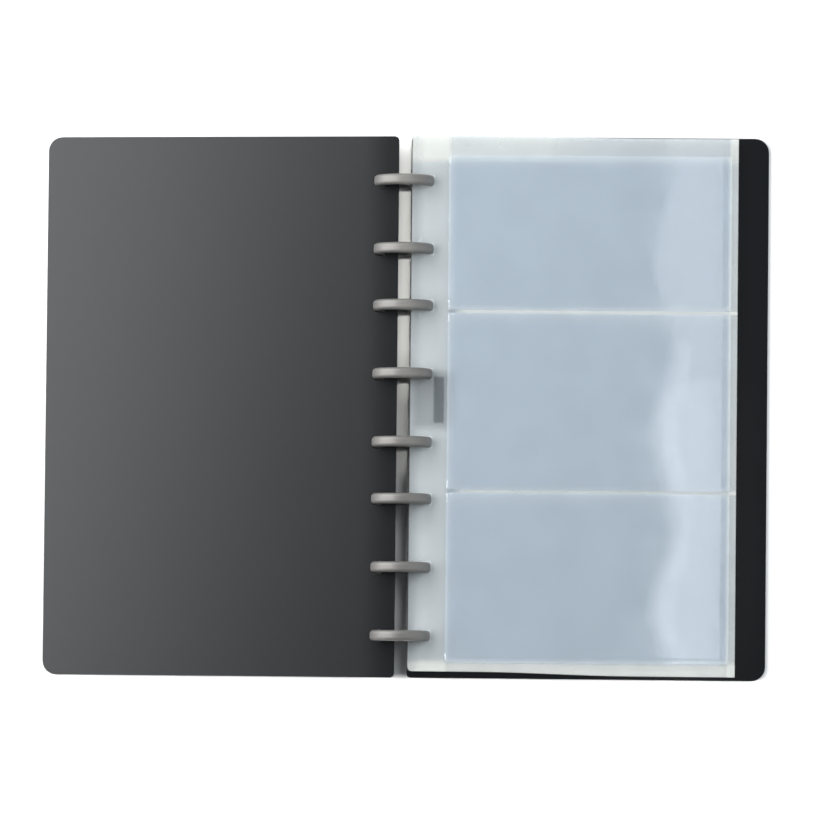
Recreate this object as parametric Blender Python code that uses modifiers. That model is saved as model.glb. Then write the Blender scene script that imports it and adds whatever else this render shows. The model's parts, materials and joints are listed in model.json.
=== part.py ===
"""An open disc-bound pocket album: two covers, eight binding discs and six three-pocket sheets.

Metres, +Z up. The origin is on the table, under the middle of the spine. +X runs towards the sheets
and the back cover, and +Y towards the head of the page. Covers and sheets all turn about one line,
the axis of the discs, which runs along Y at a height of one disc radius.

Each half of the album is drawn in a half frame: its origin is on the disc axis, its X runs out along
the page, its Y is the world's Y, and its Z is across the page. The half frame is tilted, because the
outer edge of the page rests on the table while the spine edge is held up by the discs.
"""

import bmesh
import bpy
from math import asin, atan2, cos, hypot, pi, radians, sin
from mathutils import Matrix, Vector

NAME = "coin_album"

# Discs
DISC_RADIUS = 0.01175
RIM_WIDTH = 0.0042
RIM_DEPTH = 0.003
RIM_ROUNDING = 0.0014
WEB_THICKNESS = 0.0016
LONG_GAP = 0.0267
SHORT_GAP = 0.0222
DISC_GAPS = (LONG_GAP, SHORT_GAP, LONG_GAP, LONG_GAP, SHORT_GAP, LONG_GAP, LONG_GAP)
DISC_SHIFT = -0.0007
DISC_SEGMENTS = 36

# Covers
COVER_HEIGHT = 0.212
COVER_REACH = 0.1425
COVER_THICKNESS = 0.0008
COVER_CORNER = 0.0055
COVER_OFFSET = 0.00295
SCORE_REACH = 0.0172
SCORE_WIDTH = 0.0012
SCORE_DEPTH = 0.0003

# Sheets
SHEET_COUNT = 6
SHEET_PITCH = 0.00078
SHEET_HEIGHT = 0.210
SHEET_REACH = 0.1305
SHEET_LIFT = 0.0005
SHEET_THICKNESS = 0.0005
FILM = 0.00012
WELD_GAP = 0.00002
BEND_REACH = 0.017

# Pockets, measured down from the head of the sheet
POCKET_START = 0.0176
POCKET_END = 0.128
POCKETS = {
    "pocket_top": (0.0070, 0.0675),
    "pocket_middle": (0.0688, 0.1378),
    "pocket_bottom": (0.1391, 0.2053),
}
WELD_WIDTH = 0.0012

# Edge slots, a narrow neck for the disc's web that opens into a wide head for its rim. A slot is
# given by the spine edge and the two ends of its head, as distances from the disc axis.
COVER_SLOT = (0.0026, 0.0077, 0.01185)
SHEET_SLOT = (0.0031, 0.0084, 0.0121)
NECK_WIDTH = 0.0022
HEAD_WIDTH = 0.0049
HEAD_ROUNDING = 0.0007
SPINE_CORNER = 0.0015

# The tilt at which the lower edge of a cover's outer end just meets the table
COVER_OUTSIDE = COVER_OFFSET + COVER_THICKNESS / 2
TILT = asin(DISC_RADIUS / hypot(COVER_REACH, COVER_OUTSIDE)) - atan2(COVER_OUTSIDE, COVER_REACH)


def clear_scene():
    for obj in list(bpy.data.objects):
        bpy.data.objects.remove(obj, do_unlink=True)


def new_collection(name):
    collection = bpy.data.collections.new(name)
    bpy.context.scene.collection.children.link(collection)
    return collection


def material(name, colour, roughness, metallic=0.0, alpha=1.0):
    made = bpy.data.materials.new(name)
    made.use_nodes = True
    shader = made.node_tree.nodes["Principled BSDF"]
    shader.inputs["Base Color"].default_value = (*colour, 1.0)
    shader.inputs["Roughness"].default_value = roughness
    shader.inputs["Metallic"].default_value = metallic
    shader.inputs["Alpha"].default_value = alpha
    return made


def empty(name, parent=None):
    made = bpy.data.objects.new(name, None)
    made.empty_display_size = DISC_RADIUS
    made.parent = parent
    PARTS.objects.link(made)
    return made


def place(name, mesh, parent, finish):
    """One named piece, with its origin on the disc axis."""
    made = bpy.data.objects.new(name, mesh)
    mesh.materials.clear()
    mesh.materials.append(finish)
    made.parent = parent
    PARTS.objects.link(made)
    return made


def disc_stations():
    """The Y of each disc, from the head down. The row sits slightly nearer to the foot."""
    y = sum(DISC_GAPS) / 2 + DISC_SHIFT
    stations = [y]
    for gap in DISC_GAPS:
        y -= gap
        stations.append(y)
    return stations


def arc(centre, radius, start, end, steps):
    """Points on an arc, with angles in degrees."""
    points = []
    for i in range(steps + 1):
        angle = radians(start + (end - start) * i / steps)
        points.append((centre[0] + radius * cos(angle), centre[1] + radius * sin(angle)))
    return points


def slot_points(y, slot):
    """One edge slot, from the spine edge in and back out, running towards the foot."""
    edge, near, far = slot
    neck = NECK_WIDTH / 2
    wide = HEAD_WIDTH / 2
    r = HEAD_ROUNDING
    points = [(edge, y + neck), (near, y + neck)]
    points += arc((near + r, y + wide - r), r, 180, 90, 2)
    points += arc((far - r, y + wide - r), r, 90, 0, 2)
    points += arc((far - r, y - wide + r), r, 0, -90, 2)
    points += arc((near + r, y - wide + r), r, -90, -180, 2)
    points += [(near, y - neck), (edge, y - neck)]
    return points


def page_outline(reach, low, high, corner, slot):
    """A page seen from its front, with rounded corners and a slot for each disc."""
    edge = slot[0]
    r = SPINE_CORNER
    points = arc((edge + r, high - r), r, 90, 180, 2)
    for y in disc_stations():
        points += slot_points(y, slot)
    points += arc((edge + r, low + r), r, 180, 270, 2)
    if corner > 0:
        points += arc((reach - corner, low + corner), corner, 270, 360, 6)
        points += arc((reach - corner, high - corner), corner, 0, 90, 6)
    else:
        points += [(reach, low), (reach, high)]
    return points


def flat_mesh(name, outline, thickness):
    """A flat outline as a filled 2D curve, given its thickness and made a mesh."""
    curve = bpy.data.curves.new(name, "CURVE")
    curve.dimensions = "2D"
    curve.fill_mode = "BOTH"
    curve.extrude = thickness / 2
    spline = curve.splines.new("POLY")
    spline.points.add(len(outline) - 1)
    for point, (x, y) in zip(spline.points, outline):
        point.co = (x, y, 0.0, 1.0)
    spline.use_cyclic_u = True
    drawn = bpy.data.objects.new(name, curve)
    PARTS.objects.link(drawn)
    bpy.context.view_layer.update()
    mesh = bpy.data.meshes.new_from_object(drawn.evaluated_get(bpy.context.evaluated_depsgraph_get()))
    bpy.data.objects.remove(drawn, do_unlink=True)
    bm = bmesh.new()
    bm.from_mesh(mesh)
    bmesh.ops.remove_doubles(bm, verts=bm.verts, dist=1e-7)
    bmesh.ops.recalc_face_normals(bm, faces=bm.faces)
    bm.to_mesh(mesh)
    bm.free()
    mesh.name = name
    return mesh


def box_mesh(name, low, high):
    mesh = bpy.data.meshes.new(name)
    bm = bmesh.new()
    size = Vector(high) - Vector(low)
    centre = (Vector(high) + Vector(low)) / 2
    bmesh.ops.create_cube(bm, size=1.0, matrix=Matrix.Translation(centre) @ Matrix.Diagonal((*size, 1.0)))
    bm.to_mesh(mesh)
    bm.free()
    return mesh


def cut(target, name, mesh, parent):
    """Cut a mesh out of a piece."""
    cutter = bpy.data.objects.new(name, mesh)
    cutter.parent = parent
    cutter.hide_render = True
    cutter.display_type = "WIRE"
    CUTTERS.objects.link(cutter)
    boolean = target.modifiers.new(name, "BOOLEAN")
    boolean.operation = "DIFFERENCE"
    boolean.solver = "EXACT"
    boolean.object = cutter


def build_disc(name, y, finish):
    """A turned disc. Its axis is the object's own Z, laid along the world's Y."""
    half_rim = RIM_WIDTH / 2
    inner = DISC_RADIUS - RIM_DEPTH
    r = RIM_ROUNDING
    profile = [(0.0, WEB_THICKNESS / 2), (inner, WEB_THICKNESS / 2)]
    profile += arc((inner + r / 2, half_rim - r / 2), r / 2, 180, 90, 1)
    profile += arc((DISC_RADIUS - r, half_rim - r), r, 90, 0, 3)
    profile += [(x, -z) for x, z in reversed(profile)]
    mesh = bpy.data.meshes.new(name)
    bm = bmesh.new()
    ring = [bm.verts.new((x, 0.0, z)) for x, z in profile]
    for a, b in zip(ring, ring[1:]):
        bm.edges.new((a, b))
    bm.to_mesh(mesh)
    bm.free()
    made = place(name, mesh, ALBUM, finish)
    made.location = (0.0, y, DISC_RADIUS)
    made.rotation_euler = (-pi / 2, 0.0, 0.0)
    screw = made.modifiers.new("turn", "SCREW")
    screw.axis = "Z"
    screw.angle = 2 * pi
    screw.steps = DISC_SEGMENTS
    screw.render_steps = DISC_SEGMENTS
    screw.use_merge_vertices = True
    screw.merge_threshold = 1e-6
    screw.use_smooth_shade = True


def build_cover(name, offset, half, finish):
    """A cover plate on one half, with a fold score across its outside face."""
    high = COVER_HEIGHT / 2
    outline = page_outline(COVER_REACH, -high, high, COVER_CORNER, COVER_SLOT)
    mesh = flat_mesh(name, outline, COVER_THICKNESS)
    mesh.transform(Matrix.Translation((0.0, 0.0, offset)))
    made = place(name, mesh, half, finish)
    outside = offset + COVER_THICKNESS / 2 * (1 if offset > 0 else -1)
    z = sorted((outside - SCORE_DEPTH, outside + SCORE_DEPTH))
    low = (SCORE_REACH - SCORE_WIDTH / 2, -COVER_HEIGHT, z[0])
    top = (SCORE_REACH + SCORE_WIDTH / 2, COVER_HEIGHT, z[1])
    cut(made, name + "_score", box_mesh(name + "_score", low, top), half)


def build_backing(name, level, pivot, finish):
    """A backing film. Its binding strip runs straight from the disc axis out to the bend, and the
    rest lies parallel to the cover, at its own level in the stack."""
    low = SHEET_LIFT - SHEET_HEIGHT / 2
    high = SHEET_LIFT + SHEET_HEIGHT / 2
    mesh = flat_mesh(name, page_outline(SHEET_REACH, low, high, 0.0, SHEET_SLOT), FILM)
    film_level = level - SHEET_THICKNESS / 2 + FILM / 2
    bm = bmesh.new()
    bm.from_mesh(mesh)
    bmesh.ops.triangulate(bm, faces=bm.faces)
    everything = list(bm.verts) + list(bm.edges) + list(bm.faces)
    bmesh.ops.bisect_plane(
        bm, geom=everything, dist=1e-7, plane_co=(BEND_REACH, 0.0, 0.0), plane_no=(1.0, 0.0, 0.0)
    )
    for vert in bm.verts:
        vert.co.z += film_level * min(vert.co.x / BEND_REACH, 1.0)
    bm.to_mesh(mesh)
    bm.free()
    place(name, mesh, pivot, finish)


def build_pocket(name, span, level, pivot, finish):
    """A pocket's front film with its side and foot welds, open towards the head."""
    head = SHEET_LIFT + SHEET_HEIGHT / 2
    high = head - span[0]
    low = head - span[1]
    top = level + SHEET_THICKNESS / 2
    floor = level - SHEET_THICKNESS / 2 + FILM + WELD_GAP
    mesh = box_mesh(name, (POCKET_START, low, floor), (POCKET_END, high, top))
    made = place(name, mesh, pivot, finish)
    inside_low = (POCKET_START + WELD_WIDTH, low + WELD_WIDTH, floor - SHEET_THICKNESS)
    inside_top = (POCKET_END - WELD_WIDTH, high + WELD_WIDTH, top - FILM)
    cut(made, name + "_space", box_mesh(name + "_space", inside_low, inside_top), pivot)


clear_scene()
PARTS = new_collection(NAME)
CUTTERS = new_collection(NAME + "_cutters")

COVER_GREY = material("cover_polypropylene", (0.045, 0.046, 0.048), 0.42)
DISC_METAL = material("disc_aluminium", (0.56, 0.54, 0.51), 0.34, metallic=1.0)
FILM_CLEAR = material("film_backing", (0.72, 0.79, 0.86), 0.22, alpha=0.35)
POCKET_CLEAR = material("film_pocket", (0.72, 0.79, 0.86), 0.16, alpha=0.35)

ALBUM = empty(NAME)

# The right half, which holds the back cover and the sheets
BACK_HALF = empty("back_half", ALBUM)
BACK_HALF.location = (0.0, 0.0, DISC_RADIUS)
BACK_HALF.rotation_euler = (0.0, TILT, 0.0)

# The left half is the same frame turned over about the disc axis, and holds the front cover
FRONT_HALF = empty("front_half", ALBUM)
FRONT_HALF.location = (0.0, 0.0, DISC_RADIUS)
FRONT_HALF.rotation_euler = (0.0, -pi - TILT, 0.0)

build_cover("back_cover", -COVER_OFFSET, BACK_HALF, COVER_GREY)
build_cover("front_cover", COVER_OFFSET, FRONT_HALF, COVER_GREY)

for number, station in enumerate(disc_stations(), start=1):
    build_disc(f"disc_{number}", station, DISC_METAL)

# Sheet 1 is the top one of the stack, and the stack is centred on the disc axis
for number in range(1, SHEET_COUNT + 1):
    sheet_level = SHEET_PITCH * ((SHEET_COUNT + 1) / 2 - number)
    sheet = empty(f"sheet_{number}", BACK_HALF)
    build_backing(f"sheet_{number}_backing", sheet_level, sheet, FILM_CLEAR)
    for pocket, pocket_span in POCKETS.items():
        build_pocket(f"sheet_{number}_{pocket}", pocket_span, sheet_level, sheet, POCKET_CLEAR)
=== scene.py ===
"""The looks of an open disc-bound pocket album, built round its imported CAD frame.

Metres, +Z up, in the CAD's own frame. The films are drawn in a half frame, that of the right-hand
side: its origin is on the disc axis, its x runs out along the page, its y is the world's Y, towards
the head, and its z is across the page.
"""

import json
from math import asin, cos, pi, radians, sin, tau

import bmesh
import bpy
import numpy as np
from mathutils import Matrix, Vector


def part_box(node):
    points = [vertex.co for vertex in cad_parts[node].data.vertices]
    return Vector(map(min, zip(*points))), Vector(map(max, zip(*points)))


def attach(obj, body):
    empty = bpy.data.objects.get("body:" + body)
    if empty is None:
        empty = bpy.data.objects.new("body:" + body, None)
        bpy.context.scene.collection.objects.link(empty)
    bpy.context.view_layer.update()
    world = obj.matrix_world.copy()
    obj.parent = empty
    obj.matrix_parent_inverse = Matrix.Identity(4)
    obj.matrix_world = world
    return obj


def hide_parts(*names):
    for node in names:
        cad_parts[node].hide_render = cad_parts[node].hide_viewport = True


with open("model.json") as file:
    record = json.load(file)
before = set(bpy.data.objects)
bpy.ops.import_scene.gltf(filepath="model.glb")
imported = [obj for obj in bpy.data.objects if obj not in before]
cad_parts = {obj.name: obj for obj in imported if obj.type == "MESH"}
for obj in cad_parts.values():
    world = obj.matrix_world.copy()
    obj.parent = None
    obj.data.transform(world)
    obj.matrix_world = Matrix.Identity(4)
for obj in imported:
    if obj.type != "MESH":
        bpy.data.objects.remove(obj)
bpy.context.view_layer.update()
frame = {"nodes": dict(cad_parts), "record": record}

NODES = frame["nodes"]
RECORD = frame["record"]

# Half frame, tilted as the back cover is
DISC_LOW, DISC_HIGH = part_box("disc_1")
DISC_RADIUS = (DISC_HIGH.z - DISC_LOW.z) / 2
TILT = asin(abs(RECORD["mounts"][0]["axis"][0]))
RIGHT = Matrix.Translation((0.0, 0.0, DISC_RADIUS)) @ Matrix.Rotation(TILT, 4, "Y")

# Discs
DISC_COUNT = 8
RIM_WIDTH = DISC_HIGH.y - DISC_LOW.y
RIM_DEPTH = 0.003
WEB_THICKNESS = 0.0016
RIM_ROUNDING = 0.0014
RIM_INNER_ROUNDING = 0.0006
DISC_SEGMENTS = 128

# Outline of a sheet, and its edge slots, whose near and far ends are measured from the disc axis
SLOT_NEAR = 0.0084
SLOT_FAR = 0.0121
NECK_WIDTH = 0.0022
HEAD_WIDTH = 0.0049
HEAD_ROUNDING = 0.0007
NECK_ROUNDING = 0.0005
PAGE_CORNER = 0.0015

# How far a sheet's foot and head edges lie towards the head at the spine, and where along x that ends
FOOT_TRIM = 0.0012
HEAD_TRIM = 0.0009
TRIM_REACH = (0.03, 0.09)

# Films: thickness, mesh cells, the bend beside the binding strip, and the welds round a pocket
SHEET_COUNT = 6
SHEET_THICKNESS = 0.0005
SHEET_PLAY = 0.00015
FILM = 0.00012
CELL = 0.004
FINE_CELL = 0.0006
FINE_REACH = 0.0036
BEND_REACH = 0.017
BEND_SOFTNESS = 0.0035
WELD_WIDTH = 0.0012
WELD_RISE = 0.0016
POCKETS = ("pocket_top", "pocket_middle", "pocket_bottom")

# Waves of the films: height, length along the page's height, and the slant of their crests. Each sheet
# adds a fainter wave of its own, whose two lengths run along x and along y.
WAVE_HEIGHT = 0.00016
BROAD_WAVE = 0.083
BROAD_SLANT = 22.0
FINE_WAVE = 0.041
FINE_SLANT = -30.0
FINE_SHARE = 0.6
OWN_WAVE_HEIGHT = 0.00003
OWN_WAVE = (0.09, 0.067)

# Film finish. Haze and frost are the share of light that one film scatters. A fade is the distance over
# which that grows or ends, and HEAD_FADE and SPINE_SHADE_FADE are stretches of x, from start to end.
FILM_HAZE = 0.135
FILM_BLUE = (0.88, 0.942, 0.99)
FROST_WHITE = (0.97, 0.975, 0.935)
CLEAR_TINT = (0.98, 0.99, 1.0)
CLEAN_GLOSS = 0.065
FROSTED_GLOSS = 0.02
STRIP_FROST = 0.085
HEAD_FROST = 0.115
FOOT_FROST = 0.15
OUTER_FROST = 0.10
INNER_FROST = 0.05
SEAMS = (("pocket_top", "pocket_middle", 0.19), ("pocket_middle", "pocket_bottom", 0.13))
SEAM_FADE = 0.008
HEAD_FADE = (0.05, 0.085)
# The next two numbers paint shade on the binding strip: near the spine edge the backing scatters less, so
# it shows darker there.
SPINE_SHADE_FADE = (0.002, 0.009)
SPINE_SHADE_SHARE = 0.42
MOUTH_FROST = 0.035
MOUTH_FADE = 0.006
WELD_FROST = {"pocket_top": 0.06, "pocket_middle": 0.03, "pocket_bottom": 0.05}
WELD_FADE = 0.003

# The outer part of a sheet leans to and fro along its height, which bends what it reflects
LEAN_CREST = 0.024
LEAN_PERIOD = 0.069
LEAN_START = 0.082
LEAN_REACH = 0.03
LEAN_SLOPE = 0.02

# A plain printed bar on the binding strip, on a faint grey patch
MARK_X = (0.0121, 0.0165)
MARK_Y = (-0.0066, 0.0118)
MARK_INK = 0.85
PATCH_X = (0.0045, 0.0205)
PATCH_Y = (-0.0085, 0.0135)
PATCH_INK = 0.42
INK_GREY = (0.22, 0.245, 0.26)

# Covers
COVER_ROUNDING = 0.00014
# Both covers are the same plastic; the back cover's lower gloss is a painted shade that darkens it.
COVER_GLOSS_WITH_SHADE = {"back_cover": 0.36, "front_cover": 0.54}
# Within this reach of the disc axis the covers reflect less: a painted shade beside the discs.
HINGE_SHADE_GLOSS = 0.26
HINGE_SHADE_REACH = 0.0175
COVER_DARK = (0.0034, 0.0043, 0.0056)
COVER_LIGHT = (0.0052, 0.0062, 0.0078)

# Lights
COOL = (0.95, 0.98, 1.0)
WARM = (1.0, 1.0, 0.94)
BEAM_SPREAD = radians(3)
GAP_HEAD = 0.11

# Camera, with its turns in degrees
CAMERA_DISTANCE = 2.6
CAMERA_YAW = 5.153
CAMERA_PITCH = 2.575
CAMERA_ROLL = 0.588
CAMERA_TARGET = (0.0015, -0.0002, 0.005)
CAMERA_LENS = 293.2
CAMERA_SENSOR = 36.0


# Half-frame geometry

def half_box(node):
    """A CAD node's lowest and highest corners in the right half frame."""
    inverse = RIGHT.inverted()
    corners = np.array([inverse @ vert.co for vert in NODES[node].data.vertices])
    return corners.min(axis=0), corners.max(axis=0)


def smoothstep(low, high, value):
    t = np.clip((value - low) / (high - low), 0.0, 1.0)
    return t * t * (3.0 - 2.0 * t)


def arc(centre, radius, start, end, steps):
    """Points on an arc, with angles in degrees."""
    points = []
    for i in range(steps + 1):
        angle = radians(start + (end - start) * i / steps)
        points.append((centre[0] + radius * cos(angle), centre[1] + radius * sin(angle)))
    return points


def disc_stations():
    """The Y of each disc, from the head down."""
    stations = []
    for number in range(1, DISC_COUNT + 1):
        low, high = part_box(f"disc_{number}")
        stations.append((low.y + high.y) / 2)
    return stations


# Meshes

def piece(name, mesh, body, finish, matrix):
    """A named piece that rides on a CAD body."""
    made = bpy.data.objects.new(name, mesh)
    bpy.context.scene.collection.objects.link(made)
    made.matrix_world = matrix
    mesh.materials.append(finish)
    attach(made, body)
    return made


def slot_points(edge, y):
    """One edge slot, from the spine edge in and back out, running towards the foot."""
    neck = NECK_WIDTH / 2
    wide = HEAD_WIDTH / 2
    n = NECK_ROUNDING
    r = HEAD_ROUNDING
    points = arc((edge + n, y + neck + n), n, 180, 270, 4)
    points += [(SLOT_NEAR, y + neck)]
    points += arc((SLOT_NEAR + r, y + wide - r), r, 180, 90, 4)
    points += arc((SLOT_FAR - r, y + wide - r), r, 90, 0, 4)
    points += arc((SLOT_FAR - r, y - wide + r), r, 0, -90, 4)
    points += arc((SLOT_NEAR + r, y - wide + r), r, -90, -180, 4)
    points += [(SLOT_NEAR, y - neck)]
    points += arc((edge + n, y - neck - n), n, 90, 180, 4)
    return points


def sheet_outline(low, high):
    """A sheet seen from its front, with a slot for each disc. Its head and its foot edge are cut a
    little out of true: towards the spine they run nearer to the head than at the outer end."""
    edge = low[0]
    r = PAGE_CORNER
    foot = low[1] + FOOT_TRIM
    head = high[1] + HEAD_TRIM
    points = arc((edge + r, head - r), r, 90, 180, 6)
    for y in disc_stations():
        points += slot_points(edge, y)
    points += arc((edge + r, foot + r), r, 180, 270, 6)
    reach = np.linspace(*TRIM_REACH, 9)
    points += [(x, foot - FOOT_TRIM * smoothstep(*TRIM_REACH, x)) for x in reach]
    points += [(high[0], low[1]), (high[0], high[1])]
    points += [(x, head - HEAD_TRIM * smoothstep(*TRIM_REACH, x)) for x in reach[::-1]]
    return points


def grid_cut(bm, axis, low, high, step):
    """Cuts a flat mesh along evenly spaced lines across one axis."""
    count = max(1, round((high - low) / step))
    normal = Vector((1.0, 0.0, 0.0)) if axis == 0 else Vector((0.0, 1.0, 0.0))
    for i in range(1, count):
        place = normal * (low + (high - low) * i / count)
        everything = bm.verts[:] + bm.edges[:] + bm.faces[:]
        bmesh.ops.bisect_plane(bm, geom=everything, dist=1e-7, plane_co=place, plane_no=normal)
    return count


def page_mesh(name, outline, step):
    """A flat outline filled and cut into a clean grid of square cells, fine enough to bend."""
    bm = bmesh.new()
    bm.faces.new([bm.verts.new((x, y, 0.0)) for x, y in outline])
    bmesh.ops.triangulate(bm, faces=bm.faces[:])
    low = [min(point[axis] for point in outline) for axis in (0, 1)]
    high = [max(point[axis] for point in outline) for axis in (0, 1)]
    counts = [grid_cut(bm, axis, low[axis], high[axis], step) for axis in (0, 1)]

    def cell(face):
        centre = face.calc_center_median()
        return tuple(int((centre[a] - low[a]) / (high[a] - low[a]) * counts[a]) for a in (0, 1))

    inside = [
        edge for edge in bm.edges
        if len(edge.link_faces) == 2 and cell(edge.link_faces[0]) == cell(edge.link_faces[1])
    ]
    bmesh.ops.dissolve_edges(bm, edges=inside, use_verts=False)
    spare = []
    for vert in bm.verts:
        if len(vert.link_edges) == 2:
            a, b = (edge.other_vert(vert).co - vert.co for edge in vert.link_edges)
            if a.angle(-b) < 1e-4:
                spare.append(vert)
    bmesh.ops.dissolve_verts(bm, verts=spare)
    bmesh.ops.recalc_face_normals(bm, faces=bm.faces[:])
    mesh = bpy.data.meshes.new(name)
    bm.to_mesh(mesh)
    bm.free()
    mesh.shade_smooth()
    return mesh


def rect_mesh(name, columns, rows):
    """A flat grid with the given lines along each axis."""
    bm = bmesh.new()
    grid = [[bm.verts.new((x, y, 0.0)) for x in columns] for y in rows]
    for lower, upper in zip(grid, grid[1:]):
        for i in range(len(columns) - 1):
            bm.faces.new((lower[i], lower[i + 1], upper[i + 1], upper[i]))
    mesh = bpy.data.meshes.new(name)
    bm.to_mesh(mesh)
    bm.free()
    mesh.shade_smooth()
    return mesh


def lines(low, high, step, fine, fine_step):
    """Grid lines from low to high, closer together within a distance of both ends."""
    ends = np.arange(0.0, fine, fine_step)
    count = max(2, round((high - low - 2 * fine) / step))
    return [*(low + ends), *np.linspace(low + fine, high - fine, count + 1), *(high - ends[::-1])]


def bend(mesh, height):
    """Moves every point of a flat mesh to the height that a function of x and y gives."""
    flat = np.zeros(len(mesh.vertices) * 3)
    mesh.vertices.foreach_get("co", flat)
    points = flat.reshape(-1, 3)
    points[:, 2] += height(points[:, 0], points[:, 1])
    mesh.vertices.foreach_set("co", points.ravel())
    mesh.update()


def solidify(made, thickness):
    """Gives a film its thickness, half on each side, and keeps its shading flat up to the edge."""
    shell = made.modifiers.new("thickness", "SOLIDIFY")
    shell.thickness = thickness
    shell.offset = 0.0
    shell.use_even_offset = False
    even = made.modifiers.new("flat_shading_up_to_the_edge", "WEIGHTED_NORMAL")
    even.mode = "FACE_AREA"
    even.weight = 100


# Node helpers

def new_material(name):
    made = bpy.data.materials.new(name)
    made.use_nodes = True
    made.node_tree.nodes.clear()
    return made, made.node_tree


def add(tree, kind, inputs=None, **settings):
    """A new shader node. Each input is a number, a colour or another node's output."""
    made = tree.nodes.new("ShaderNode" + kind)
    for name, value in settings.items():
        setattr(made, name, value)
    for key, value in (inputs or {}).items():
        if isinstance(value, bpy.types.NodeSocket):
            tree.links.new(value, made.inputs[key])
        else:
            made.inputs[key].default_value = value
    return made


def maths(tree, operation, a, b=0.0, clamp=False):
    return add(tree, "Math", {0: a, 1: b}, operation=operation, use_clamp=clamp).outputs[0]


def ramp(tree, value, start, end, low=0.0, high=1.0):
    """Runs smoothly from low at start to high at end."""
    inputs = {"Value": value, "From Min": start, "From Max": end, "To Min": low, "To Max": high}
    return add(tree, "MapRange", inputs, interpolation_type="SMOOTHSTEP").outputs[0]


def band(tree, value, low, high, soft, strength=1.0):
    """Full strength between low and high, fading to nothing over a soft edge on both sides."""
    rise = ramp(tree, value, low - soft, low + soft)
    fall = ramp(tree, value, high - soft, high + soft, strength, 0.0)
    return maths(tree, "MULTIPLY", rise, fall)


def noise(tree, vector, scale, detail, roughness=0.5):
    inputs = {"Vector": vector, "Scale": scale, "Detail": detail, "Roughness": roughness}
    return add(tree, "TexNoise", inputs).outputs["Fac"]


def total(tree, values):
    result = values[0]
    for value in values[1:]:
        result = maths(tree, "ADD", result, value)
    return result


def object_place(tree):
    """Object coordinates, which are half-frame metres on pages, whole and as x and y."""
    place = add(tree, "TexCoord").outputs["Object"]
    split = add(tree, "SeparateXYZ", {"Vector": place})
    return place, split.outputs["X"], split.outputs["Y"]


def finish_surface(tree, shader):
    add(tree, "OutputMaterial", {"Surface": shader})


# Materials

def blend_colours(tree, factor, low, high):
    """A colour that runs from low to high as the factor runs from 0 to 1."""
    mixed = add(tree, "Mix", {"Factor": factor, 6: (*low, 1.0), 7: (*high, 1.0)}, data_type="RGBA")
    return mixed.outputs[2]


def cover_material(name, gloss):
    """Dark grey polypropylene with a fine satin grain and faint cloudiness, its gloss lowered near the
    hinge as painted shade.
    """
    made, tree = new_material(name)
    place = add(tree, "TexCoord").outputs["Object"]
    x = add(tree, "SeparateXYZ", {"Vector": place}).outputs["X"]
    reach = maths(tree, "ABSOLUTE", x)
    cloud = noise(tree, place, 28.0, 3.0)
    grain = noise(tree, place, 5200.0, 2.0)
    fleck = noise(tree, place, 900.0, 4.0, 0.7)
    colour = blend_colours(tree, cloud, COVER_DARK, COVER_LIGHT)
    rough = ramp(tree, fleck, 0.3, 0.7, 0.28, 0.33)
    # Painted shade: the gloss falls towards the hinge.
    sheen = ramp(tree, reach, 0.004, HINGE_SHADE_REACH, HINGE_SHADE_GLOSS, gloss)
    bump = add(tree, "Bump", {"Strength": 0.12, "Distance": 0.00002, "Height": grain})
    shader = add(tree, "BsdfPrincipled", {
        "Base Color": colour, "Roughness": rough, "IOR": 1.49, "Specular IOR Level": sheen,
        "Normal": bump.outputs["Normal"],
    })
    finish_surface(tree, shader.outputs["BSDF"])
    return made


def disc_material(name):
    """Satin aluminium, turned, so that fine rings run round it."""
    made, tree = new_material(name)
    place = add(tree, "TexCoord").outputs["Object"]
    split = add(tree, "SeparateXYZ", {"Vector": place})
    flat = add(tree, "CombineXYZ", {"X": split.outputs["X"], "Y": split.outputs["Y"]})
    radius = add(tree, "VectorMath", {0: flat.outputs["Vector"]}, operation="LENGTH").outputs["Value"]
    rings = add(tree, "CombineXYZ", {"X": radius, "Y": split.outputs["Z"]}).outputs["Vector"]
    turned = noise(tree, rings, 9000.0, 3.0, 0.7)
    cloud = noise(tree, place, 260.0, 3.0)
    bump = add(tree, "Bump", {"Strength": 0.25, "Distance": 0.00002, "Height": turned})
    rough = ramp(tree, cloud, 0.3, 0.7, 0.42, 0.50)
    shade = ramp(tree, turned, 0.2, 0.8, 0.165, 0.20)
    colour = add(tree, "CombineColor", {
        "Red": shade, "Green": maths(tree, "MULTIPLY", shade, 0.975),
        "Blue": maths(tree, "MULTIPLY", shade, 0.93),
    }).outputs["Color"]
    shader = add(tree, "BsdfPrincipled", {
        "Base Color": colour, "Metallic": 0.35, "Roughness": rough, "Normal": bump.outputs["Normal"],
    })
    finish_surface(tree, shader.outputs["BSDF"])
    return made


def film_milk(tree, frost, ink):
    """The colour of the light that a film scatters: bluish, whiter where frosted, grey where inked."""
    white = maths(tree, "MULTIPLY", frost, 7.0, clamp=True)
    milk = blend_colours(tree, white, FILM_BLUE, FROST_WHITE)
    if ink is None:
        return milk
    inked = add(tree, "Mix", {"Factor": ink, 6: milk, 7: (*INK_GREY, 1.0)}, data_type="RGBA")
    return inked.outputs[2]


def film_relief(tree, place):
    """Fine ripples, and the slow lean of the outer part, as a bent normal."""
    fine = noise(tree, place, 380.0, 0.0)
    ripple = add(tree, "Bump", {"Strength": 0.1, "Distance": 0.00004, "Height": fine})
    split = add(tree, "SeparateXYZ", {"Vector": place})
    along = maths(tree, "SUBTRACT", split.outputs["Y"], LEAN_CREST)
    turn = maths(tree, "MULTIPLY", along, tau / LEAN_PERIOD)
    reach = maths(tree, "MAXIMUM", maths(tree, "SUBTRACT", split.outputs["X"], LEAN_START), 0.0)
    reach = maths(tree, "MINIMUM", reach, LEAN_REACH)
    lean = maths(tree, "MULTIPLY", maths(tree, "COSINE", turn), reach)
    inputs = {"Distance": LEAN_SLOPE, "Height": lean, "Normal": ripple.outputs["Normal"]}
    return add(tree, "Bump", inputs).outputs["Normal"]


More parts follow.
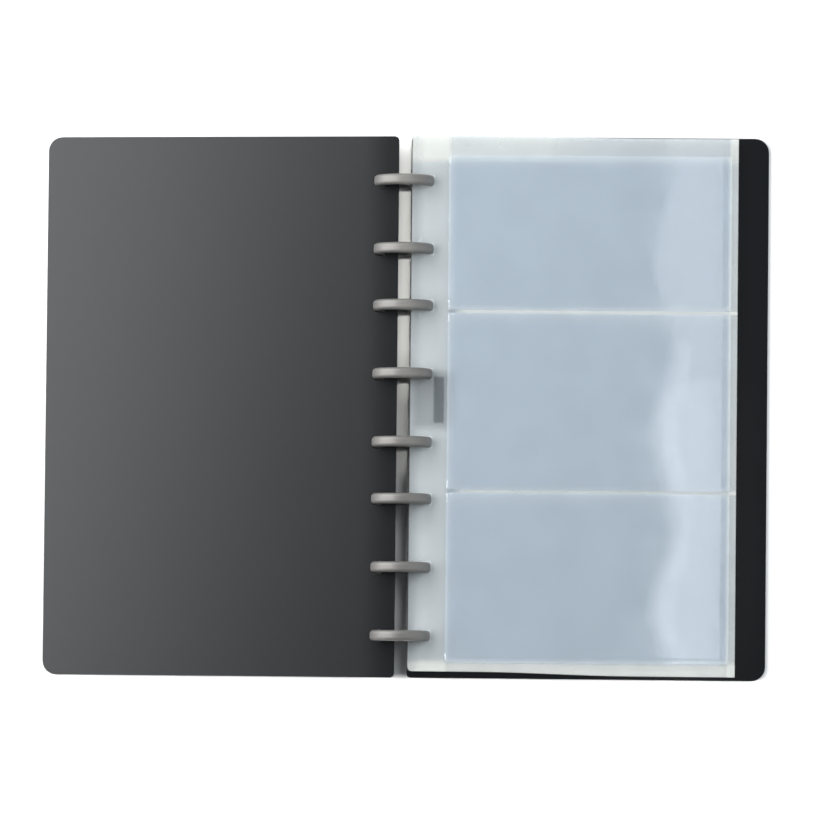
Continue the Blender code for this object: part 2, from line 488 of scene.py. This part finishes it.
def film_shader(tree, place, frost, ink=None, share=1.0):
    """Clear film, mostly see-through: a haze that scatters light, whiter where it is frosted, under
    a gloss. Of its two surfaces, only the one that faces the viewer is drawn."""
    texture = noise(tree, place, 70.0, 1.0)
    mottle = ramp(tree, texture, 0.25, 0.75, 0.95, 1.05)
    haze = maths(tree, "MULTIPLY", maths(tree, "ADD", frost, FILM_HAZE), mottle, clamp=True)
    # The share cuts the haze; the backing passes its painted shade by the spine in here.
    haze = maths(tree, "MULTIPLY", haze, share)
    milk = film_milk(tree, frost, ink)
    relief = film_relief(tree, place)
    clear = add(tree, "BsdfTransparent", {"Color": (*CLEAR_TINT, 1.0)}).outputs[0]
    front = add(tree, "BsdfDiffuse", {"Color": milk}).outputs[0]
    through = add(tree, "BsdfTranslucent", {"Color": milk}).outputs[0]
    scatter = add(tree, "MixShader", {0: 0.4, 1: front, 2: through}).outputs[0]
    body = add(tree, "MixShader", {0: haze, 1: clear, 2: scatter}).outputs[0]
    facing = add(tree, "LayerWeight", {"Blend": 0.5}).outputs["Facing"]
    grazing = maths(tree, "MULTIPLY", maths(tree, "POWER", facing, 5.0), 0.6)
    straight = ramp(tree, frost, 0.0, 0.12, CLEAN_GLOSS, FROSTED_GLOSS)
    gloss_share = maths(tree, "ADD", grazing, straight)
    rough = ramp(tree, texture, 0.3, 0.7, 0.10, 0.16)
    gloss = add(tree, "BsdfAnisotropic", {"Color": (1, 1, 1, 1), "Roughness": rough, "Normal": relief})
    film = add(tree, "MixShader", {0: gloss_share, 1: body, 2: gloss.outputs[0]}).outputs[0]
    unseen = add(tree, "BsdfTransparent", {"Color": (1, 1, 1, 1)}).outputs[0]
    away = add(tree, "NewGeometry").outputs["Backfacing"]
    return add(tree, "MixShader", {0: away, 1: film, 2: unseen}).outputs[0]


def printed_bar(tree, x, y):
    """The share of ink: a plain bar on a faint patch."""
    bar = maths(tree, "MULTIPLY", band(tree, x, *MARK_X, 0.0006, MARK_INK), band(tree, y, *MARK_Y, 0.0006))
    across = band(tree, x, *PATCH_X, 0.0025, PATCH_INK)
    patch = maths(tree, "MULTIPLY", across, band(tree, y, *PATCH_Y, 0.0025))
    return maths(tree, "MAXIMUM", bar, patch)


def backing_material(name, pockets):
    """The backing film: frosted along its binding strip and its margins, with a printed bar."""
    made, tree = new_material(name)
    place, x, y = object_place(tree)
    low, high = pockets["pocket_top"]
    foot = pockets["pocket_bottom"][0][1]
    strip = ramp(tree, x, low[0] + WELD_WIDTH, low[0] - 0.0008, 0.0, STRIP_FROST)
    # Painted shade: the haze is cut near the spine edge, so the strip shows darker there.
    spine_shade = ramp(tree, x, *SPINE_SHADE_FADE, SPINE_SHADE_SHARE, 1.0)
    head = ramp(tree, y, high[1] - 0.004, high[1] - 0.0005, 0.0, HEAD_FROST)
    head = maths(tree, "MULTIPLY", head, ramp(tree, x, *HEAD_FADE, 1.0, 0.6))
    tail = ramp(tree, y, foot + 0.0015, foot - 0.001, 0.0, FOOT_FROST)
    outer = ramp(tree, x, high[0] - WELD_WIDTH, high[0], 0.0, OUTER_FROST)
    seams = [
        band(tree, y, pockets[below][1][1], pockets[above][0][1], 0.0003, strength)
        for above, below, strength in SEAMS
    ]
    seam = maths(tree, "MULTIPLY", total(tree, seams), ramp(tree, x, low[0], low[0] + SEAM_FADE))
    frost = total(tree, [strip, head, tail, outer, seam])
    finish_surface(tree, film_shader(tree, place, frost, printed_bar(tree, x, y), spine_shade))
    return made


def pocket_material(name, low, high, weld_frost):
    """A pocket's front film, frosted at its welds and, more faintly, below its mouth."""
    made, tree = new_material(name)
    place, x, y = object_place(tree)
    inner = ramp(tree, x, low[0] + WELD_WIDTH + 0.0008, low[0] + 0.0004, 0.0, INNER_FROST)
    outer = ramp(tree, x, high[0] - WELD_WIDTH - 0.0008, high[0] - 0.0004, 0.0, OUTER_FROST)
    foot = ramp(tree, y, low[1] + WELD_FADE, low[1], 0.0, weld_frost)
    mouth = ramp(tree, y, high[1] - MOUTH_FADE, high[1], 0.0, MOUTH_FROST)
    frost = total(tree, [inner, outer, foot, mouth])
    finish_surface(tree, film_shader(tree, place, frost))
    return made


def floor_material(name):
    """A matt pale table top with a barely visible texture."""
    made, tree = new_material(name)
    place = add(tree, "TexCoord").outputs["Object"]
    shade = ramp(tree, noise(tree, place, 3.0, 4.0), 0.3, 0.7, 0.86, 0.89)
    colour = add(tree, "CombineColor", {"Red": shade, "Green": shade, "Blue": shade}).outputs["Color"]
    shader = add(tree, "BsdfPrincipled", {"Base Color": colour, "Roughness": 0.8})
    shader.inputs["Specular IOR Level"].default_value = 0.1
    finish_surface(tree, shader.outputs["BSDF"])
    return made


# Sub-parts

def finish_covers():
    """The covers keep their CAD shape, with evenly shaded faces and fine rounded edges."""
    for name, gloss in COVER_GLOSS_WITH_SHADE.items():
        node = NODES[name]
        node.data.shade_flat()
        weld = node.modifiers.new("join_corners", "WELD")
        weld.merge_threshold = 1e-6
        round_off = node.modifiers.new("edge_rounding", "BEVEL")
        round_off.width = COVER_ROUNDING
        round_off.segments = 2
        round_off.limit_method = "ANGLE"
        round_off.angle_limit = radians(50)
        node.data.materials.clear()
        node.data.materials.append(cover_material(name + "_polypropylene", gloss))


def disc_mesh(name):
    """A lathe-turned disc about its own Z, with a rounded rim and a thin web."""
    half = RIM_WIDTH / 2
    inner = DISC_RADIUS - RIM_DEPTH
    r = RIM_ROUNDING
    n = RIM_INNER_ROUNDING
    profile = [(0.0, WEB_THICKNESS / 2), (inner * 0.5, WEB_THICKNESS / 2)]
    profile += arc((inner - n / 2, WEB_THICKNESS / 2 + n / 2), n / 2, 270, 360, 3)
    profile += arc((inner + n, half - n), n, 180, 90, 4)
    profile += arc((DISC_RADIUS - r, half - r), r, 90, 0, 8)
    profile += [(x, -z) for x, z in reversed(profile)]
    bm = bmesh.new()
    ring = [bm.verts.new((x, 0.0, z)) for x, z in profile]
    edges = [bm.edges.new(pair) for pair in zip(ring, ring[1:])]
    bmesh.ops.spin(
        bm, geom=ring + edges, cent=(0, 0, 0), axis=(0, 0, 1), angle=tau, steps=DISC_SEGMENTS,
    )
    bmesh.ops.remove_doubles(bm, verts=bm.verts[:], dist=1e-6)
    bmesh.ops.recalc_face_normals(bm, faces=bm.faces[:])
    mesh = bpy.data.meshes.new(name)
    bm.to_mesh(mesh)
    bm.free()
    mesh.shade_smooth()
    return mesh


def build_discs():
    finish = disc_material("disc_aluminium")
    for number, y in enumerate(disc_stations(), start=1):
        name = f"disc_{number}"
        turn = Matrix.Translation((0.0, y, DISC_RADIUS)) @ Matrix.Rotation(-pi / 2, 4, "X")
        made = piece(name + "_turned", disc_mesh(name + "_turned"), name, finish, turn)
        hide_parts(name)


def film_waves(number):
    """The gentle waves of one sheet. All sheets share most of them, so that they never touch."""
    def height(x, y):
        broad = np.sin(tau * y / BROAD_WAVE + BROAD_SLANT * x + 0.6)
        fine = np.sin(tau * y / FINE_WAVE + FINE_SLANT * x + 2.1)
        shared = (broad + FINE_SHARE * fine) / (1 + FINE_SHARE)
        across = np.sin(tau * x / OWN_WAVE[0] + 0.9 * number)
        own = np.sin(tau * y / OWN_WAVE[1] + 1.7 * number) * across
        low_wave = WAVE_HEIGHT * smoothstep(0.03, 0.12, x) * shared
        return low_wave + OWN_WAVE_HEIGHT * smoothstep(0.02, 0.04, x) * own
    return height


def strip_bend(x):
    """How far a sheet has risen to its own level: none at the disc axis, all of it past the bend."""
    t = x / BEND_REACH
    s = BEND_SOFTNESS / BEND_REACH
    corner = np.clip(0.5 + (1.0 - t) / (2 * s), 0.0, 1.0)
    return t * corner + (1.0 - corner) - s * corner * (1.0 - corner)


def sheet_place(number):
    """Where a sheet lies in the half frame, a little out of line with the others."""
    shift = (SHEET_PLAY * sin(2.4 * number), SHEET_PLAY * sin(4.1 * number + 1.0), 0.0)
    return RIGHT @ Matrix.Translation(shift)


def build_backing(sheet, flat, level, waves, finish, place):
    """A sheet's backing film, which rises from the discs to the sheet's own level in the stack."""
    mesh = flat.copy()
    mesh.name = sheet + "_back_film"
    bend(mesh, lambda x, y: level * strip_bend(x) + waves(x, y))
    made = piece(mesh.name, mesh, sheet, finish, place)
    solidify(made, FILM)
    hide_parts(sheet + "_backing")


def build_sheets():
    spans = {name: half_box(f"sheet_1_{name}") for name in POCKETS}
    backing = backing_material("film_backing", spans)
    finishes = {
        name: pocket_material("film_" + name, *spans[name], WELD_FROST[name]) for name in POCKETS
    }
    flat = page_mesh("sheet_backing_flat", sheet_outline(*half_box("sheet_1_backing")), CELL)
    for number in range(1, SHEET_COUNT + 1):
        sheet = f"sheet_{number}"
        place = sheet_place(number)
        waves = film_waves(number)
        boxes = {name: half_box(f"{sheet}_{name}") for name in POCKETS}
        level = boxes["pocket_top"][1][2] - (SHEET_THICKNESS - FILM / 2)
        build_backing(sheet, flat, level, waves, backing, place)
        for name in POCKETS:
            build_pocket(f"{sheet}_{name}", boxes[name], waves, sheet, finishes[name], place)
    bpy.data.meshes.remove(flat)


def build_pocket(node, span, waves, body, finish, place):
    """A pocket's front film, lying on the backing at its welds and standing off it between them."""
    low, high = span
    columns = lines(low[0], high[0], CELL, FINE_REACH, FINE_CELL)
    rows = lines(low[1], high[1], CELL, FINE_REACH, FINE_CELL)
    floor = low[2] + FILM / 2
    rise = high[2] - low[2] - FILM

    def height(x, y):
        side = smoothstep(WELD_WIDTH, WELD_WIDTH + WELD_RISE, np.minimum(x - low[0], high[0] - x))
        foot = smoothstep(WELD_WIDTH, WELD_WIDTH + WELD_RISE, y - low[1])
        return floor + rise * side * foot + waves(x, y)

    mesh = rect_mesh(node + "_film", columns, rows)
    bend(mesh, height)
    made = piece(mesh.name, mesh, body, finish, place)
    solidify(made, FILM)
    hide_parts(node)


# Setting

def build_floor():
    mesh = rect_mesh("table_top", np.linspace(-3, 3, 7), np.linspace(-3, 3, 7))
    made = bpy.data.objects.new("table_top", mesh)
    made.location.z = -0.0002
    mesh.materials.append(floor_material("table_matt"))
    bpy.context.scene.collection.objects.link(made)


def soft_light(name, place, size, radiance, colour=(1.0, 1.0, 1.0), aim=(0.0, 0.0, 0.0)):
    """A rectangular soft light that faces a point. Its own brightness stays the same at any size."""
    light = bpy.data.lights.new(name, "AREA")
    light.shape = "RECTANGLE"
    light.size, light.size_y = size
    light.energy = radiance * pi * size[0] * size[1]
    light.color = colour
    made = bpy.data.objects.new(name, light)
    made.location = place
    back = (Vector(place) - Vector(aim)).normalized()
    side = Vector((0.0, 1.0, 0.0)).cross(back).normalized()
    made.rotation_euler = Matrix((side, back.cross(side), back)).transposed().to_euler()
    made.visible_camera = False
    bpy.context.scene.collection.objects.link(made)
    return made


def matt_only(light):
    """Lets a light brighten matt surfaces without showing in glossy ones."""
    light.visible_glossy = False


def narrow_beam(name, place, size, radiance, aim, colour=(1.0, 1.0, 1.0)):
    """A matt-only light that reaches just the strip of table below it."""
    beam = soft_light(name, place, size, radiance, colour, aim)
    beam.data.spread = BEAM_SPREAD
    matt_only(beam)


def mirrored_panel(name, place, size, radiance):
    """A panel straight above the sheets that shows only as a reflection in their gloss."""
    panel = soft_light(name, place, size, radiance, aim=(place[0], place[1], 0.0))
    panel.visible_diffuse = False


def light_gap():
    """Light on the table in the gap at the spine, strongest at the head, where three beams overlap."""
    beams = ((0.015, -0.0004, 0.02), (0.015, -0.0004, 0.004), (0.03, 0.0, -0.026))
    for number, (x, aim_x, foot) in enumerate(beams, start=1):
        middle = (GAP_HEAD + foot) / 2
        size = (0.002, GAP_HEAD - foot)
        place = (x, middle + 0.01, 0.2)
        narrow_beam(f"gap_light_{number}", place, size, 0.6, (aim_x, middle, 0.0), WARM)


def light_studio():
    """A large window to the left, a dim room, a fill from the right, and panels over the outer edge."""
    world = bpy.data.worlds.new("studio")
    world.use_nodes = True
    background = world.node_tree.nodes["Background"]
    background.inputs["Color"].default_value = (0.88, 0.95, 1.0, 1.0)
    background.inputs["Strength"].default_value = 0.13
    bpy.context.scene.world = world
    soft_light("window", (-0.52, 0.218, 0.386), (0.942, 0.942), 4.42)
    matt_only(soft_light("right_fill", (0.9, 0.35, 1.1), (1.4, 0.9), 4.5, COOL))
    light_gap()
    narrow_beam("foot_light", (0.0, -0.1195, 0.1), (0.3, 0.026), 1.6, (0.0, -0.1195, 0.0))
    mirrored_panel("outer_panel", (0.12, 0.005, 0.1), (0.0253, 0.26), 0.64)
    mirrored_panel("outer_panel_edge", (0.114, -0.035, 0.098), (0.007, 0.14), 0.34)
    mirrored_panel("outer_panel_foot", (0.1215, -0.06, 0.096), (0.0227, 0.13), 0.36)
    soft_light("right_panel", (0.9, 0.0, 0.45), (0.8, 0.6), 1.0, COOL).visible_diffuse = False


def set_camera():
    data = bpy.data.cameras.new("camera")
    data.lens = CAMERA_LENS
    data.sensor_width = CAMERA_SENSOR
    data.clip_end = 20.0
    made = bpy.data.objects.new("camera", data)
    turn = Matrix.Rotation(radians(CAMERA_YAW), 4, "Y")
    turn = turn @ Matrix.Rotation(radians(CAMERA_PITCH), 4, "X")
    turn = turn @ Matrix.Rotation(radians(CAMERA_ROLL), 4, "Z")
    made.matrix_world = (
        Matrix.Translation(CAMERA_TARGET) @ turn @ Matrix.Translation((0.0, 0.0, CAMERA_DISTANCE))
    )
    bpy.context.scene.collection.objects.link(made)
    bpy.context.scene.camera = made


def set_rendering():
    """Straight colours, and enough see-through bounces for the whole stack of films."""
    scene = bpy.context.scene
    scene.view_settings.view_transform = "Standard"
    scene.cycles.transparent_max_bounces = 64
    scene.cycles.max_bounces = 6


finish_covers()
build_discs()
build_sheets()
build_floor()
light_studio()
set_camera()
set_rendering()
